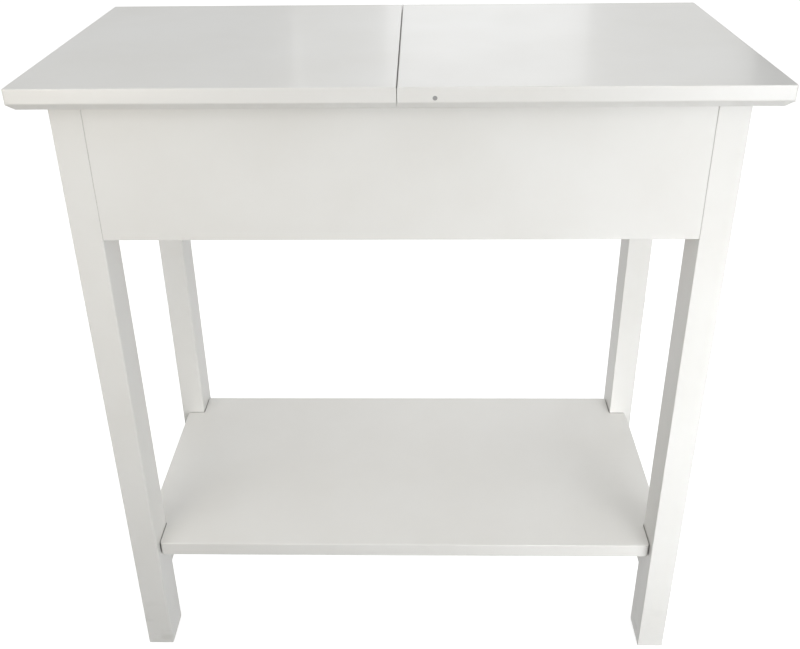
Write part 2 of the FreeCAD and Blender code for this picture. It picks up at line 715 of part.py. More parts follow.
class CutLists(dict):
    """Holes waiting to be made, by node."""

    def __missing__(self, name):
        self[name] = []
        return self[name]


def build():
    """Makes every node, drills the boards and writes the files."""
    cuts = CutLists()
    make_legs()
    make_aprons()
    make_lower_shelf()
    for side in sides:
        make_leaf(side)
    fit_knock_down_joints(cuts)
    make_well(cuts)
    make_shelf_screws(cuts)
    make_glides(cuts)
    make_bumpers()
    make_hinges(cuts)
    make_stays(cuts)
    for name, tools in cuts.items():
        nodes[name] = [cut(solid, tools) for solid in nodes[name]]
    for name, solids in nodes.items():
        pieces = [solid for shape in solids for solid in shape.Solids]
        shape = pieces[0] if len(pieces) == 1 else Part.makeCompound(pieces)
        valid = shape.isValid()
        shape.exportStep(f"parts/{name}.step")
        size = shape.BoundBox
        extent = f"{size.XLength:.1f} x {size.YLength:.1f} x {size.ZLength:.1f}"
        print(f"{name}: {len(pieces)} solids, valid {valid}, {extent}")
    print(f"{len(nodes)} nodes")


build()
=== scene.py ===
import logging
import math
from abc import ABC, abstractmethod
from dataclasses import dataclass
from enum import Enum
from typing import Optional, Union

import bmesh
import bpy
from mathutils import Matrix, Vector


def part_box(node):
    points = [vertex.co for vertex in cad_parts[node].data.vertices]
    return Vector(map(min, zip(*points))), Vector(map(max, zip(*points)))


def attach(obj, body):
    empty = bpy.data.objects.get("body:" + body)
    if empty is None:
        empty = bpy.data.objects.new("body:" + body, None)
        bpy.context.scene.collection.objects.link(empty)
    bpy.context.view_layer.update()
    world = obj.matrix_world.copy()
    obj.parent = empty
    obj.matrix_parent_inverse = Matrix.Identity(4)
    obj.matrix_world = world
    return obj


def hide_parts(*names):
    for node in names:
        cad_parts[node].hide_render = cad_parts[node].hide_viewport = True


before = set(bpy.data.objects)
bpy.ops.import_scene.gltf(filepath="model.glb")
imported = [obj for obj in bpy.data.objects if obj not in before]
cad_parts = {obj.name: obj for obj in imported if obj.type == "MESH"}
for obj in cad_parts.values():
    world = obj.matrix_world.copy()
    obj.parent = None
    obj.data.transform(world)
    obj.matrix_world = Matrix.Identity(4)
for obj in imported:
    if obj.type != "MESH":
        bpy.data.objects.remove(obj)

MM = 0.001
WELD = 1e-6
SMOOTH_ANGLE = math.radians(32)
Colour = tuple[float, float, float]
Triple = tuple[float, float, float]
Socket = bpy.types.NodeSocket
Value = Union[float, int, Triple, Socket]
log = logging.getLogger("sewing_table")


class Side(Enum):
    """The two halves of the table."""

    LEFT = "left"
    RIGHT = "right"


class End(Enum):
    """The two long sides of the frame."""

    FRONT = "front"
    BACK = "back"


class Grain(Enum):
    """The way that the fibres or brush lines of a piece run."""

    X = 0
    Y = 1
    Z = 2


class Body(Enum):
    """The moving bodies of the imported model."""

    FRAME = "frame"
    LEFT_LEAF = "left_leaf"
    RIGHT_LEAF = "right_leaf"
    LEFT_STAY = "left_stay"
    RIGHT_STAY = "right_stay"


LEAF_BODY = {Side.LEFT: Body.LEFT_LEAF, Side.RIGHT: Body.RIGHT_LEAF}


# ---- node trees ----
class Graph:
    """A node tree being written, with short calls for the nodes that this file uses."""

    def __init__(self, tree: bpy.types.NodeTree) -> None:
        """Starts on an empty tree.

        Args:
            tree: the tree to write into.
        """
        self.tree = tree

    def feed(self, socket: Socket, value: Value) -> None:
        """Sets a socket to a value, or links it to another socket.

        Args:
            socket: the input to fill.
            value: a number, a triple, or an output socket.
        """
        if isinstance(value, Socket):
            self.tree.links.new(value, socket)
        else:
            socket.default_value = value

    def node(self, kind: str, settings: Optional[dict] = None, **inputs: Value) -> bpy.types.Node:
        """Adds a node.

        Args:
            kind: the node's type name.
            settings: properties of the node itself.
            inputs: values for its sockets, with underscores for the spaces in their names.

        Returns:
            The new node.
        """
        made = self.tree.nodes.new(kind)
        for name, value in (settings or {}).items():
            setattr(made, name, value)
        for name, value in inputs.items():
            self.feed(made.inputs[name.replace("_", " ")], value)
        return made

    def math(self, operation: str, first: Value, second: Value = 0.0, clamp: bool = False) -> Socket:
        """Adds a Math node and returns its value.

        Args:
            operation: the node's operation.
            first: its first number.
            second: its second number, if it has one.
            clamp: whether the result stays between 0 and 1.

        Returns:
            The result's socket.
        """
        made = self.node("ShaderNodeMath", {"operation": operation, "use_clamp": clamp})
        self.feed(made.inputs[0], first)
        self.feed(made.inputs[1], second)
        return made.outputs[0]

    def remap(self, value: Value, low: float, high: float, to_low: float, to_high: float) -> Socket:
        """Maps a range of numbers to another, clamped.

        Args:
            value: the number to map.
            low: the start of its range.
            high: the end of its range.
            to_low: what the start becomes.
            to_high: what the end becomes.

        Returns:
            The mapped number's socket.
        """
        made = self.node(
            "ShaderNodeMapRange", Value=value, From_Min=low, From_Max=high, To_Min=to_low, To_Max=to_high
        )
        return made.outputs["Result"]


class Shader(Graph):
    """A material being written round one Principled shader."""

    def __init__(self, name: str) -> None:
        """Makes the material.

        Args:
            name: the material's name.
        """
        self.material = bpy.data.materials.new(name)
        self.material.use_nodes = True
        self.material.node_tree.nodes.clear()
        super().__init__(self.material.node_tree)
        self.surface = self.node("ShaderNodeBsdfPrincipled")
        output = self.node("ShaderNodeOutputMaterial")
        self.tree.links.new(self.surface.outputs["BSDF"], output.inputs["Surface"])
        self.coordinates = self.node("ShaderNodeTexCoord")

    def dress(self, **inputs: Value) -> None:
        """Fills sockets of the Principled shader, with underscores for the spaces in their names."""
        for name, value in inputs.items():
            self.feed(self.surface.inputs[name.replace("_", " ")], value)

    def place(self, stretch: Triple = (1.0, 1.0, 1.0), shift: Triple = (0.0, 0.0, 0.0)) -> Socket:
        """Object coordinates, stretched and shifted.

        Args:
            stretch: the scale on each axis.
            shift: the offset on each axis.

        Returns:
            The vector's socket.
        """
        made = self.node(
            "ShaderNodeMapping", Vector=self.coordinates.outputs["Object"], Location=shift, Scale=stretch
        )
        return made.outputs["Vector"]

    def noise(self, where: Value, scale: float, detail: float = 2.0, rough: float = 0.5) -> Socket:
        """A cloud of noise between 0 and 1.

        Args:
            where: the coordinates.
            scale: clouds per metre.
            detail: octaves added to it.
            rough: how strong the finer octaves are.

        Returns:
            The noise's socket.
        """
        made = self.node("ShaderNodeTexNoise", Vector=where, Scale=scale, Detail=detail, Roughness=rough)
        return made.outputs["Fac"]

    def blend(self, share: Value, first: Value, second: Value) -> Socket:
        """Mixes two colours.

        Args:
            share: how much of the second.
            first: the first colour.
            second: the second colour.

        Returns:
            The mixed colour's socket.
        """
        made = self.tree.nodes.new("ShaderNodeMix")
        made.data_type = "RGBA"
        self.feed(made.inputs[0], share)
        for socket, colour in ((made.inputs[6], first), (made.inputs[7], second)):
            self.feed(socket, (*colour, 1.0) if isinstance(colour, tuple) else colour)
        return made.outputs[2]

    def relief(self, height: Value, depth: float, strength: float, under: Optional[Socket] = None) -> Socket:
        """A bump.

        Args:
            height: the relief, from 0 to 1.
            depth: how deep that is, in metres.
            strength: how much of it shows.
            under: a normal that this one lies on.

        Returns:
            The normal's socket.
        """
        made = self.node("ShaderNodeBump", Height=height, Distance=depth, Strength=strength)
        if under is not None:
            self.tree.links.new(under, made.inputs["Normal"])
        return made.outputs["Normal"]

    def arris(self) -> Socket:
        """1 on the rounded edges of a square board and 0 on its flat faces."""
        split = self.node("ShaderNodeSeparateXYZ", Vector=self.coordinates.outputs["Normal"])
        sizes = [self.math("ABSOLUTE", split.outputs[axis]) for axis in "XYZ"]
        largest = self.math("MAXIMUM", self.math("MAXIMUM", sizes[0], sizes[1]), sizes[2])
        return self.remap(largest, 0.99, 0.86, 0.0, 1.0)


# ---- finishes ----
@dataclass(frozen=True)
class Finish(ABC):
    """A surface finish, tied to a material slot of the record."""

    slot: str

    @abstractmethod
    def paint(self, shader: Shader) -> None:
        """Writes the finish into a material."""

    def material(self, name: Optional[str] = None) -> bpy.types.Material:
        """Makes the finish's material.

        Args:
            name: the material's name, or none for the slot's.

        Returns:
            The material.
        """
        shader = Shader(name or self.slot)
        self.paint(shader)
        return shader.material


@dataclass(frozen=True)
class PrintedDot:
    """A small plain dot printed on the front edge of a leaf."""

    x: float
    z: float
    radius: float
    ink: Colour


@dataclass(frozen=True)
class Lacquer(Finish):
    """Sprayed white lacquer on board: faint orange peel, cloudy gloss and thin arrises, with painted shade in
    concave corners and joints.
    """

    colour: Colour = (0.80, 0.80, 0.785)
    shade: Colour = (0.765, 0.76, 0.738)
    arris_colour: Colour = (0.74, 0.725, 0.69)
    arris_share: float = 0.35
    scuff_and_shade_colour: Colour = (0.50, 0.485, 0.45)
    scuff_and_shade_height: float = 0.0
    gloss_low: float = 0.29
    gloss_high: float = 0.36
    coat: float = 0.25
    coat_roughness: float = 0.12
    peel_depth: float = 0.000012
    wave_depth: float = 0.00015
    cloud_scale: float = 7.0
    wear_scale: float = 90.0
    gloss_scale: float = 13.0
    peel_scale: float = 420.0
    wave_scale: float = 14.0
    painted_shade_reach: float = 2.5 * MM
    painted_shade_colour: Colour = (0.36, 0.355, 0.34)
    painted_shade_share: float = 0.75
    dot: Optional[PrintedDot] = None

    def paint(self, shader: Shader) -> None:
        """Writes the lacquer.

        Args:
            shader: the material to write into.
        """
        here = shader.place()
        cloud = shader.noise(here, self.cloud_scale, 4.0, 0.55)
        colour = shader.blend(shader.remap(cloud, 0.32, 0.68, 0.0, 1.0), self.colour, self.shade)
        thin = shader.noise(here, self.wear_scale, 3.0)
        worn = shader.math("MULTIPLY", shader.arris(), shader.remap(thin, 0.4, 0.62, 0.0, self.arris_share))
        colour = shader.blend(worn, colour, self.arris_colour)
        # Painted shade: ambient occlusion darkens the colour towards a grey in concave corners, creases and
        # between parts.
        corners = shader.node("ShaderNodeAmbientOcclusion", {"samples": 8}, Distance=self.painted_shade_reach)
        dust_and_painted_shade = shader.remap(corners.outputs["AO"], 0.8, 0.3, 0.0, self.painted_shade_share)
        colour = shader.blend(dust_and_painted_shade, colour, self.painted_shade_colour)
        # Painted shade towards the floor: the lowest part of the legs gets darker and warmer, in scuff-like
        # patches.
        if self.scuff_and_shade_height:
            colour = shader.blend(self.scuffs_and_floor_shade(shader, here), colour, self.scuff_and_shade_colour)
        if self.dot:
            colour = shader.blend(self.printed(shader), colour, self.dot.ink)
        gloss = shader.noise(here, self.gloss_scale, 3.0)
        peel = shader.relief(shader.noise(here, self.peel_scale, 2.0), self.peel_depth, 0.6)
        swell = shader.noise(here, self.wave_scale, 1.0)
        waves = shader.relief(swell, self.wave_depth, 0.12, peel)
        shader.dress(
            Base_Color=colour,
            Roughness=shader.remap(gloss, 0.3, 0.7, self.gloss_low, self.gloss_high),
            Coat_Weight=self.coat,
            Coat_Roughness=self.coat_roughness,
            Normal=waves,
        )

    def scuffs_and_floor_shade(self, shader: Shader, here: Socket) -> Socket:
        """Scuff-like patches near the floor that are also painted shade: the colour gets darker and warmer
        towards the floor.

        Args:
            shader: the material to write into.
            here: its coordinates.

        Returns:
            The share of the darker, warmer colour of scuffs and painted shade.
        """
        split = shader.node("ShaderNodeSeparateXYZ", Vector=shader.coordinates.outputs["Object"])
        low = shader.remap(split.outputs["Z"], 0.0, self.scuff_and_shade_height, 1.0, 0.0)
        streaks = shader.noise(shader.place((22.0, 22.0, 110.0)), 1.0, 4.0, 0.6)
        patches = shader.noise(here, 46.0, 2.0)
        marks = shader.remap(shader.math("MULTIPLY", streaks, patches), 0.29, 0.42, 0.0, 0.3)
        return shader.math("MULTIPLY", low, marks)

    def printed(self, shader: Shader) -> Socket:
        """The printed dot's ink, 1 inside it and 0 outside.

        Args:
            shader: the material to write into.

        Returns:
            The share of ink.
        """
        split = shader.node("ShaderNodeSeparateXYZ", Vector=shader.coordinates.outputs["Object"])
        across = shader.math("SUBTRACT", split.outputs["X"], self.dot.x)
        up = shader.math("SUBTRACT", split.outputs["Z"], self.dot.z)
        squares = shader.math("ADD", shader.math("POWER", across, 2.0), shader.math("POWER", up, 2.0))
        distance = shader.math("SQRT", squares)
        inside = shader.remap(distance, self.dot.radius * 0.86, self.dot.radius, 0.82, 0.0)
        return shader.math("MULTIPLY", inside, shader.math("LESS_THAN", split.outputs["Y"], 0.0))


@dataclass(frozen=True)
class Melamine(Finish):
    """White melamine-faced board with a fine press texture."""

    colour: Colour = (0.78, 0.775, 0.755)
    fleck: Colour = (0.73, 0.722, 0.70)
    roughness: float = 0.42
    press_depth: float = 0.00008

    def paint(self, shader: Shader) -> None:
        """Writes the board's face.

        Args:
            shader: the material to write into.
        """
        here = shader.place()
        flecks = shader.remap(shader.noise(here, 260.0, 3.0, 0.7), 0.52, 0.7, 0.0, 1.0)
        dust_and_painted_shade = shader.noise(here, 9.0, 4.0)
        press = shader.noise(here, 750.0, 2.0)
        shader.dress(
            Base_Color=shader.blend(flecks, self.colour, self.fleck),
            Roughness=shader.remap(dust_and_painted_shade, 0.3, 0.7, self.roughness - 0.05, self.roughness + 0.06),
            Normal=shader.relief(press, self.press_depth, 0.5),
        )


@dataclass(frozen=True)
class Timber(Finish):
    """Planed bare wood with growth rings, fibres and open pores."""

    early: Colour = (0.74, 0.56, 0.34)
    late: Colour = (0.52, 0.33, 0.16)
    grain: Grain = Grain.X
    rings: float = 190.0
    pores: float = 900.0
    roughness: float = 0.55

    def along(self, across: float, lengthwise: float) -> Triple:
        """A stretch with one number across the grain and another along it.

        Args:
            across: the scale across the grain.
            lengthwise: the scale along it.

        Returns:
            The three scales.
        """
        stretch = [across, across, across]
        stretch[self.grain.value] = lengthwise
        return tuple(stretch)

    def paint(self, shader: Shader) -> None:
        """Writes the wood.

        Args:
            shader: the material to write into.
        """
        warped = shader.node(
            "ShaderNodeTexNoise", Vector=shader.place(self.along(1.0, 0.08)), Scale=self.rings, Detail=1.5,
            Distortion=0.6,
        ).outputs["Fac"]
        fibres = shader.noise(shader.place(self.along(1.0, 0.03)), self.pores, 3.0, 0.7)
        ringed = shader.remap(warped, 0.42, 0.66, 0.0, 0.85)
        colour = shader.blend(ringed, self.early, self.late)
        dark = tuple(channel * 0.62 for channel in self.late)
        colour = shader.blend(shader.remap(fibres, 0.6, 0.78, 0.0, 0.5), colour, dark)
        shader.dress(
            Base_Color=colour,
            Roughness=shader.remap(fibres, 0.3, 0.8, self.roughness - 0.08, self.roughness + 0.12),
            Normal=shader.relief(fibres, 0.0002, 0.5),
        )


@dataclass(frozen=True)
class PlatedSteel(Finish):
    """Plated steel: drawn lines, a cloudy deposit and small stains."""

    colour: Colour = (0.62, 0.62, 0.63)
    stain: Colour = (0.42, 0.40, 0.37)
    grain: Grain = Grain.X
    line_scale: float = 1500.0
    spangle: float = 0.0
    rough_low: float = 0.22
    rough_high: float = 0.4

    def paint(self, shader: Shader) -> None:
        """Writes the plating.

        Args:
            shader: the material to write into.
        """
        stretch = [1.0, 1.0, 1.0]
        stretch[self.grain.value] = 0.03
        lines = shader.noise(shader.place(tuple(stretch)), self.line_scale, 2.0)
        deposit = shader.noise(shader.place(), 130.0, 3.0, 0.6)
        cloud = deposit
        if self.spangle:
            cells = shader.node("ShaderNodeTexVoronoi", Vector=shader.place(), Scale=self.spangle)
            grey = shader.node("ShaderNodeSeparateColor", Color=cells.outputs["Color"]).outputs[0]
            broad = shader.math("MULTIPLY", deposit, 0.6)
            cloud = shader.math("ADD", broad, shader.math("MULTIPLY", grey, 0.4))
        stained = shader.remap(deposit, 0.55, 0.75, 0.0, 0.55)
        shader.dress(
            Base_Color=shader.blend(stained, self.colour, self.stain),
            Metallic=1.0,
            Roughness=shader.remap(cloud, 0.3, 0.7, self.rough_low, self.rough_high),
            Normal=shader.relief(lines, 0.00003, 0.35),
        )


@dataclass(frozen=True)
class Moulded(Finish):
    """A moulded plastic or rubber with a fine eroded skin."""

    colour: Colour = (0.70, 0.70, 0.68)
    shade: Colour = (0.60, 0.60, 0.575)
    roughness: float = 0.45
    skin_depth: float = 0.00006
    clear: float = 0.0

    def paint(self, shader: Shader) -> None:
        """Writes the moulding.

        Args:
            shader: the material to write into.
        """
        here = shader.place()
        cloud = shader.noise(here, 110.0, 3.0)
        skin = shader.noise(here, 1800.0, 2.0)
        shader.dress(
            Base_Color=shader.blend(shader.remap(cloud, 0.35, 0.65, 0.0, 1.0), self.colour, self.shade),
            Roughness=shader.remap(skin, 0.3, 0.7, self.roughness - 0.06, self.roughness + 0.06),
            Transmission_Weight=self.clear,
            Normal=shader.relief(skin, self.skin_depth, 0.5),
        )


# ---- round solids and what repeats ----
@dataclass(frozen=True)
class Turned:
    """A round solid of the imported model: middle of its head, way to its far end, length and radius."""

    head: Vector
    way: Vector
    length: float
    radius: float


def measure(points: list[Vector]) -> Turned:
    """Finds the axis, head and size of one round solid.

    Args:
        points: the solid's corners.

    Returns:
        The solid, with its wider or more detailed end as its head.
    """
    low = Vector([min(point[i] for point in points) for i in range(3)])
    high = Vector([max(point[i] for point in points) for i in range(3)])
    size, middle = high - low, (low + high) / 2
    axis = min(range(3), key=lambda i: abs(size[(i + 1) % 3] - size[(i + 2) % 3]))
    others = [i for i in range(3) if i != axis]
    ends = []
    for edge in (low[axis], high[axis]):
        near = [point for point in points if abs(point[axis] - edge) < size[axis] * 0.02]
        reach = max(math.hypot(*[point[i] - middle[i] for i in others]) for point in near)
        ends.append((round(reach, 5), len(near)))
    head_low = ends[0] >= ends[1]
    head, way = middle.copy(), Vector((0.0, 0.0, 0.0))
    head[axis] = low[axis] if head_low else high[axis]
    way[axis] = 1.0 if head_low else -1.0
    return Turned(head, way, size[axis], max(size[i] for i in others) / 2)


def turned_solids(node: str) -> list[Turned]:
    """Splits a node of round solids into them.

    Args:
        node: the node's name.

    Returns:
        The solids, in order of place.
    """
    work = bmesh.new()
    work.from_mesh(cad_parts[node].data)
    bmesh.ops.remove_doubles(work, verts=work.verts, dist=WELD)
    found, seen = [], set()
    for start in work.verts:
        if start in seen:
            continue
        seen.add(start)
        stack, points = [start], []
        while stack:
            corner = stack.pop()
            points.append(corner.co.copy())
            for edge in corner.link_edges:
                other = edge.other_vert(corner)
                if other not in seen:
                    seen.add(other)
                    stack.append(other)
        found.append(measure(points))
    work.free()
    return sorted(found, key=lambda solid: [round(number, 4) for number in solid.head])


class PieceTree(Graph):
    """A Geometry Nodes tree that makes one pattern piece and sets it at each point of a mesh."""

    def __init__(self, name: str, sizes: dict[str, float]) -> None:
        """Starts the tree.

        Args:
            name: the tree's name.
            sizes: the named inputs and their usual values, in metres.
        """
        super().__init__(bpy.data.node_groups.new(name, "GeometryNodeTree"))
        face = self.tree.interface
        face.new_socket("Geometry", in_out="INPUT", socket_type="NodeSocketGeometry")
        for size, usual in sizes.items():
            face.new_socket(size, in_out="INPUT", socket_type="NodeSocketFloat").default_value = usual
        face.new_socket("Finish", in_out="INPUT", socket_type="NodeSocketMaterial")
        face.new_socket("Geometry", in_out="OUTPUT", socket_type="NodeSocketGeometry")
        self.given = self.node("NodeGroupInput")
        self.result = self.node("NodeGroupOutput")

    def size(self, name: str) -> Socket:
        """The socket of a named input."""
        return self.given.outputs[name]

    def moved(self, shape: Value, z: Value) -> Socket:
        """Moves a shape up the piece's axis.

        Args:
            shape: the shape.
            z: how far.

        Returns:
            The moved shape.
        """
        offset = self.node("ShaderNodeCombineXYZ", Z=z).outputs[0]
        return self.node("GeometryNodeTransform", Geometry=shape, Translation=offset).outputs[0]

    def joined(self, shapes: list[Socket]) -> Socket:
        """Puts shapes together.

        Args:
            shapes: the shapes.

        Returns:
            All of them as one.
        """
        made = self.node("GeometryNodeJoinGeometry")
        for shape in reversed(shapes):
            self.tree.links.new(shape, made.inputs[0])
        return made.outputs[0]

    def turned(self, stations: list[tuple[Value, Value]], sides: int = 24) -> Socket:
        """A closed solid of revolution round the piece's axis.

        Args:
            stations: height and radius pairs, going up.
            sides: how many flats go round.

        Returns:
            The solid.
        """
        rings = []
        for (z, radius), (next_z, next_radius) in zip(stations, stations[1:]):
            depth = self.math("SUBTRACT", next_z, z)
            cone = self.node(
                "GeometryNodeMeshCone", {"fill_type": "NONE"}, Vertices=sides, Radius_Top=next_radius,
                Radius_Bottom=radius, Depth=depth,
            )
            rings.append(self.moved(cone.outputs["Mesh"], z))
        for (z, radius), flip in ((stations[0], True), (stations[-1], False)):
            disc = self.node("GeometryNodeMeshCircle", {"fill_type": "NGON"}, Vertices=sides, Radius=radius)
            cap = disc.outputs[0]
            if flip:
                cap = self.node("GeometryNodeFlipFaces", Mesh=cap).outputs[0]
            rings.append(self.moved(cap, z))
        together = self.joined(rings)
        return self.node("GeometryNodeMergeByDistance", Geometry=together, Distance=WELD).outputs[0]

    def thread(self, start: Value, length: Value, radius: Value, pitch: Value, depth: float) -> Socket:
        """A screw thread: a small triangular wire wound round the axis.

        Args:
            start: where it starts on the axis.
            length: how far it runs.
            radius: the radius of the wire's middle.
            pitch: the rise of one turn.
            depth: the wire's radius.

        Returns:
            The thread.
        """
        turns = self.math("DIVIDE", length, pitch)
        helix = self.node(
            "GeometryNodeCurveSpiral", Resolution=10, Rotations=turns, Start_Radius=radius, End_Radius=radius,
            Height=length,
        )
        wire = self.node("GeometryNodeCurvePrimitiveCircle", {"mode": "RADIUS"}, Resolution=3, Radius=depth)
        swept = self.node("GeometryNodeCurveToMesh", Curve=helix.outputs[0], Profile_Curve=wire.outputs[0])
        swept.inputs["Fill Caps"].default_value = True
        return self.moved(swept.outputs[0], start)

    def recessed(self, shape: Value, reach: Value, width: Value, depth: Value) -> Socket:
        """Cuts a cross recess into the head end of a shape.

        Args:
            shape: the shape to cut.
            reach: the length of the cross, tip to tip.
            width: the width of each arm.
            depth: how deep it goes.

        Returns:
            The cut shape.
        """
        made = self.node("GeometryNodeMeshBoolean", {"operation": "DIFFERENCE"})
        if hasattr(made, "solver"):
            made.solver = "EXACT"
        self.tree.links.new(shape, made.inputs["Mesh 1"])
        double = self.math("MULTIPLY", depth, 2.0)
        for x, y in ((reach, width), (width, reach)):
            size = self.node("ShaderNodeCombineXYZ", X=x, Y=y, Z=double).outputs[0]
            arm = self.node("GeometryNodeMeshCube", Size=size).outputs[0]
            self.tree.links.new(arm, made.inputs["Mesh 2"])
        return made.outputs[0]

    def repeat(self, pattern: Socket, seed: int, spin: bool = True) -> bpy.types.NodeTree:
        """Sets the pattern piece at every point, along the point's way, and closes the tree.

        Args:
            pattern: the piece, with its head at the origin and its far end up.
            seed: the fixed seed of the turn about its own axis.
            spin: whether each one is turned by its own angle.

        Returns:
            The finished tree.
        """
        way = self.node("GeometryNodeInputNamedAttribute", {"data_type": "FLOAT_VECTOR"}, Name="way")
        facing = self.node("FunctionNodeAlignRotationToVector", {"axis": "Z"}, Vector=way.outputs[0])
        aimed = facing.outputs[0]
        if spin:
            angle = self.node("FunctionNodeRandomValue", {"data_type": "FLOAT"})
            floats = [socket for socket in angle.inputs if socket.enabled and socket.name in ("Min", "Max")]
            floats[0].default_value, floats[1].default_value = 0.0, math.pi
            next(socket for socket in angle.inputs if socket.name == "Seed").default_value = seed
            turn = self.node(
                "FunctionNodeAxisAngleToRotation",
                Angle=next(socket for socket in angle.outputs if socket.enabled),
            ).outputs[0]
            local = self.node("FunctionNodeRotateRotation", {"rotation_space": "LOCAL"}, Rotation=aimed)
            self.tree.links.new(turn, local.inputs["Rotate By"])
            aimed = local.outputs[0]
        points = self.size("Geometry")
        placed = self.node("GeometryNodeInstanceOnPoints", Points=points, Instance=pattern, Rotation=aimed)
        real = self.node("GeometryNodeRealizeInstances", Geometry=placed.outputs[0]).outputs[0]
        dressed = self.node("GeometryNodeSetMaterial", Geometry=real, Material=self.size("Finish"))
        finished = dressed.outputs[0]
        self.tree.links.new(finished, self.result.inputs["Geometry"])
        return self.tree


def bake(name: str, solids: list[Turned], tree: bpy.types.NodeTree, sizes: dict[str, float],
         finish: bpy.types.Material) -> bpy.types.Object:
    """Runs a piece tree on the places of some round solids and keeps the plain mesh.

    Args:
        name: the new piece's name.
        solids: the solids that the piece stands for.
        tree: the piece tree.
        sizes: values for the tree's named inputs.
        finish: the piece's material.

    Returns:
        The piece, with no modifier left on it.
    """
    mesh = bpy.data.meshes.new(f"{name}_places")
    mesh.from_pydata([solid.head for solid in solids], [], [])
    ways = mesh.attributes.new("way", "FLOAT_VECTOR", "POINT")
    for index, solid in enumerate(solids):
        ways.data[index].vector = solid.way
    piece = bpy.data.objects.new(name, mesh)
    modifier = piece.modifiers.new("pieces", "NODES")
    modifier.node_group = tree
    sockets = {item.name: item.identifier for item in tree.interface.items_tree if item.in_out == "INPUT"}
    for size, value in sizes.items():
        modifier[sockets[size]] = value
    modifier[sockets["Finish"]] = finish
    bpy.context.scene.collection.objects.link(piece)
    depsgraph = bpy.context.evaluated_depsgraph_get()
    plain = bpy.data.meshes.new_from_object(
        piece.evaluated_get(depsgraph), preserve_all_data_layers=True, depsgraph=depsgraph
    )
    piece.modifiers.clear()
    piece.data = plain
    plain.name = name
    plain.shade_smooth()
    plain.set_sharp_from_angle(angle=SMOOTH_ANGLE)
    return piece


# ---- sub-assemblies ----
@dataclass
class SubAssembly(ABC):
    """Some pieces that are made and dressed together."""

    @abstractmethod
    def build(self) -> None:
        """Makes the meshes and gives every piece its finish."""

    def dress(self, node: str, finish: bpy.types.Material) -> None:
        """Gives a CAD node its finish.

        Args:
            node: the node's name.
            finish: its material.
        """
        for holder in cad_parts[node].material_slots:
            holder.link = "OBJECT"
            holder.material = finish
        log.info("dressed %s in %s", node, finish.name)

    def stand_in(self, piece: bpy.types.Object, node: str, body: Body, slot: str) -> None:
        """Makes a piece stand for a CAD node on its body.

        Args:
            piece: the new piece.
            node: the CAD node that it replaces.
            body: the body that it rides on.
            slot: its material slot in the record; not used.
        """
        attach(piece, body.value)
        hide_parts(node)
        log.info("%s replaces %s, %d faces", piece.name, node, len(piece.data.polygons))


@dataclass
class TopLeaves(SubAssembly):
    """The two lift-up leaves with their moulded edges."""

    finish: Lacquer = Lacquer(
        "lacquer_top",
        colour=(0.80, 0.80, 0.787),
        gloss_low=0.285,
        gloss_high=0.34,
        coat=0.3,
        arris_share=0.2,
    )
    dot_from_seam: float = 35 * MM
    dot_below_top: float = 10.5 * MM
    dot_radius: float = 2.4 * MM
    dot_ink: Colour = (0.22, 0.22, 0.225)

    def build(self) -> None:
        """Dresses both leaves. The right one has a small printed dot on its front edge."""
        self.dress("leaf_left", self.finish.material("leaf_left_lacquer"))
        low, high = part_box("leaf_right")
        dot_x, dot_z = low[0] + self.dot_from_seam, high[2] - self.dot_below_top
        dot = PrintedDot(dot_x, dot_z, self.dot_radius, self.dot_ink)
        marked = Lacquer(**{**self.finish.__dict__, "dot": dot})
        self.dress("leaf_right", marked.material("leaf_right_lacquer"))


@dataclass
class TableFrame(SubAssembly):
    """Legs, aprons, the lower shelf and the rails under it."""

    leg_finish: Lacquer = Lacquer("lacquer_frame", scuff_and_shade_height=90 * MM, arris_share=0.3)
    board_finish: Lacquer = Lacquer("lacquer_frame", arris_share=0.3)
    shelf_finish: Lacquer = Lacquer(
        "lacquer_frame", colour=(0.79, 0.788, 0.77), gloss_low=0.30, gloss_high=0.38, arris_share=0.3,
    )

    def build(self) -> None:
        """Dresses the frame's boards."""
        legs = self.leg_finish.material("leg_lacquer")
        boards = self.board_finish.material("board_lacquer")
        for side in Side:
            for end in End:
                self.dress(f"leg_{end.value}_{side.value}", legs)
            self.dress(f"apron_{side.value}", boards)
            self.dress(f"shelf_rail_{side.value}", boards)
        for end in End:
            self.dress(f"apron_{end.value}", boards)
        self.dress("lower_shelf", self.shelf_finish.material("shelf_lacquer"))


@dataclass
class StorageWell(SubAssembly):
    """The bottom of the well under the leaves and the cleats that it rests on."""

    panel: Melamine = Melamine("panel")
    long_cleats: Timber = Timber("cleat_wood", grain=Grain.X)
    short_cleats: Timber = Timber("cleat_wood", grain=Grain.Y)

    def build(self) -> None:
        """Dresses the well."""
        self.dress("well_bottom", self.panel.material("well_melamine"))
        long_wood = self.long_cleats.material("cleat_pine_long")
        short_wood = self.short_cleats.material("cleat_pine_short")
        for end in End:
            self.dress(f"well_cleat_{end.value}", long_wood)
        for side in Side:
            self.dress(f"well_cleat_{side.value}", short_wood)


@dataclass
class HingesAndStays(SubAssembly):
    """Butt hinges at the back of each leaf, and the slotted stays that stop it."""

    hinge: PlatedSteel = PlatedSteel("hinge_steel", colour=(0.66, 0.645, 0.61), grain=Grain.X)
    stay: PlatedSteel = PlatedSteel("stay_steel", colour=(0.64, 0.64, 0.65), grain=Grain.Y)
    pin: PlatedSteel = PlatedSteel("hinge_steel", colour=(0.6, 0.59, 0.57), grain=Grain.X, rough_low=0.18)

    def build(self) -> None:
        """Dresses the hinges and the stays."""
        hinge = self.hinge.material("hinge_nickel")
        pin = self.pin.material("hinge_pin_nickel")
        stay = self.stay.material("stay_nickel")
        for side in Side:
            for place in ("inner", "outer"):
                self.dress(f"hinge_frame_plate_{side.value}_{place}", hinge)
                self.dress(f"hinge_leaf_plate_{side.value}_{place}", hinge)
                self.dress(f"hinge_pin_{side.value}_{place}", pin)
            for piece in ("stay_arm", "stay_stud_plate", "stay_bracket", "stay_rivet"):
                self.dress(f"{piece}_{side.value}", stay)


